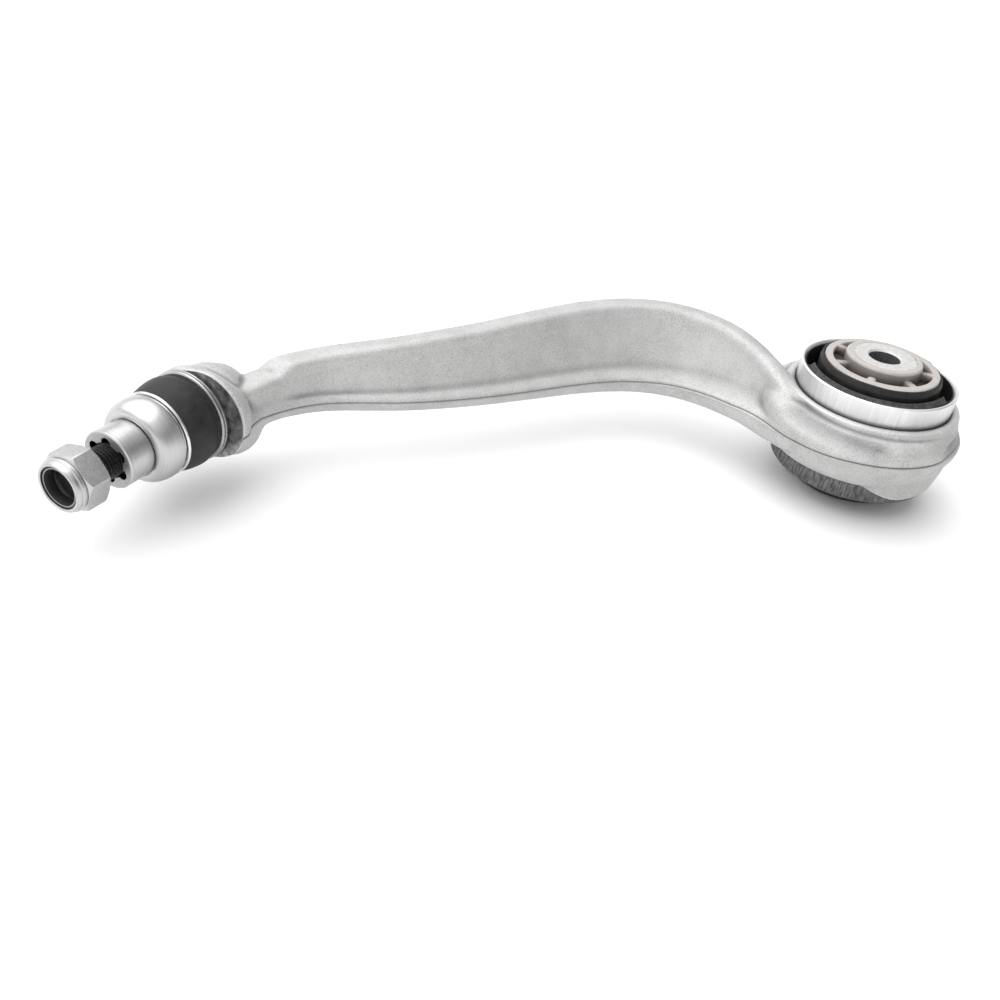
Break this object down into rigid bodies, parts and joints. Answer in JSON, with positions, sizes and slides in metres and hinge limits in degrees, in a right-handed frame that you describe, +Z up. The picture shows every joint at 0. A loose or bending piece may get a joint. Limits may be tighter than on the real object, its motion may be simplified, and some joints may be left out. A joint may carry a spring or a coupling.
{
  "type": "suspension control arm",
  "caption": "Bowed forged suspension control arm with a fluid-filled rubber bush at one end and a ball joint with spacer and lock nut at the other.",
  "frame": {"origin": "centre of the bush bore, half way along the inner sleeve", "axes": "+Z up along the bush axis; -X towards the ball joint; the ball joint's pin lies in the plane Z = 0"},
  "size_m": [0.4032, 0.1405, 0.068],
  "materials": {
    "forged_aluminium": "shot-blasted forging, satin, slightly mottled",
    "sleeve_aluminium": "turned satin aluminium",
    "core_aluminium": "cut end face, near white",
    "bush_rubber": "moulded black rubber",
    "boot_rubber": "satin charcoal rubber",
    "channel_plastic": "black glass-filled plastic",
    "stop_plastic": "black glass-filled plastic",
    "cage_plastic": "moulded beige-grey plastic",
    "seat_plastic": "natural acetal",
    "spring_steel": "spring steel",
    "ring_steel": "machined steel",
    "bright_ring": "bright plated steel",
    "stud_steel": "black phosphated steel",
    "spacer_steel": "polished turned steel",
    "nut_zinc": "zinc-plated steel",
    "insert_plastic": "black polyamide"
  },
  "bodies": {
    "arm": {"arm_forging": "forged_aluminium", "bush_outer_sleeve": "sleeve_aluminium", "channel_shell_right": "channel_plastic", "channel_shell_left": "channel_plastic", "ball_seat": "seat_plastic", "seat_spring": "spring_steel", "closing_ring": "ring_steel", "boot_seat_ring": "bright_ring"},
    "bush_spring": {"bush_rubber": "bush_rubber"},
    "bush_core": {"bush_inner_sleeve": "core_aluminium", "radial_stop": "stop_plastic", "cage_upper": "cage_plastic", "cage_lower": "cage_plastic"},
    "boot": {"dust_boot": "boot_rubber"},
    "boot_tip": {"boot_tip_ring": "bright_ring"},
    "pin": {"ball_stud": "stud_steel", "spacer_sleeve": "spacer_steel"},
    "nut_carrier": {"nut_insert": "insert_plastic"},
    "nut": {"lock_nut": "nut_zinc"}
  },
  "joints": [
    {"name": "bush_tilt", "type": "hinge", "parent": "arm", "child": "bush_spring", "pos_m": [0, 0, 0], "axis": [0, 1, 0], "range_deg": [-4, 4], "stiffness_Nm_per_rad": 20, "deforming": ["bush_rubber"]},
    {"name": "bush_twist", "type": "hinge", "parent": "bush_spring", "child": "bush_core", "pos_m": [0, 0, 0], "axis": [0, 0, 1], "range_deg": [-15, 15], "stiffness_Nm_per_rad": 5, "deforming": ["bush_rubber"]},
    {"name": "pin_swing_up", "type": "hinge", "parent": "arm", "child": "boot", "pos_m": [-0.304, -0.0032, 0], "axis": [-0.81, 0.5864, 0], "range_deg": [-20, 20], "deforming": ["dust_boot"]},
    {"name": "pin_swing_side", "type": "hinge", "parent": "boot", "child": "boot_tip", "pos_m": [-0.304, -0.0032, 0], "axis": [0, 0, 1], "range_deg": [-20, 20], "deforming": ["dust_boot"]},
    {"name": "pin_spin", "type": "hinge", "parent": "boot_tip", "child": "pin", "pos_m": [-0.304, -0.0032, 0], "axis": [-0.5864, -0.81, 0], "continuous": true},
    {"name": "nut_travel", "type": "slide", "parent": "pin", "child": "nut_carrier", "axis": [-0.5864, -0.81, 0], "range_m": [-0.0094, 0.009]},
    {"name": "nut_turn", "type": "hinge", "parent": "nut_carrier", "child": "nut", "pos_m": [-0.304, -0.0032, 0], "axis": [0.5864, 0.81, 0], "range_deg": [-2165, 2260]}
  ],
  "couplings": [
    {"joint": "nut_turn", "follows": "nut_travel", "rad_per_m": -4188.8}
  ]
}
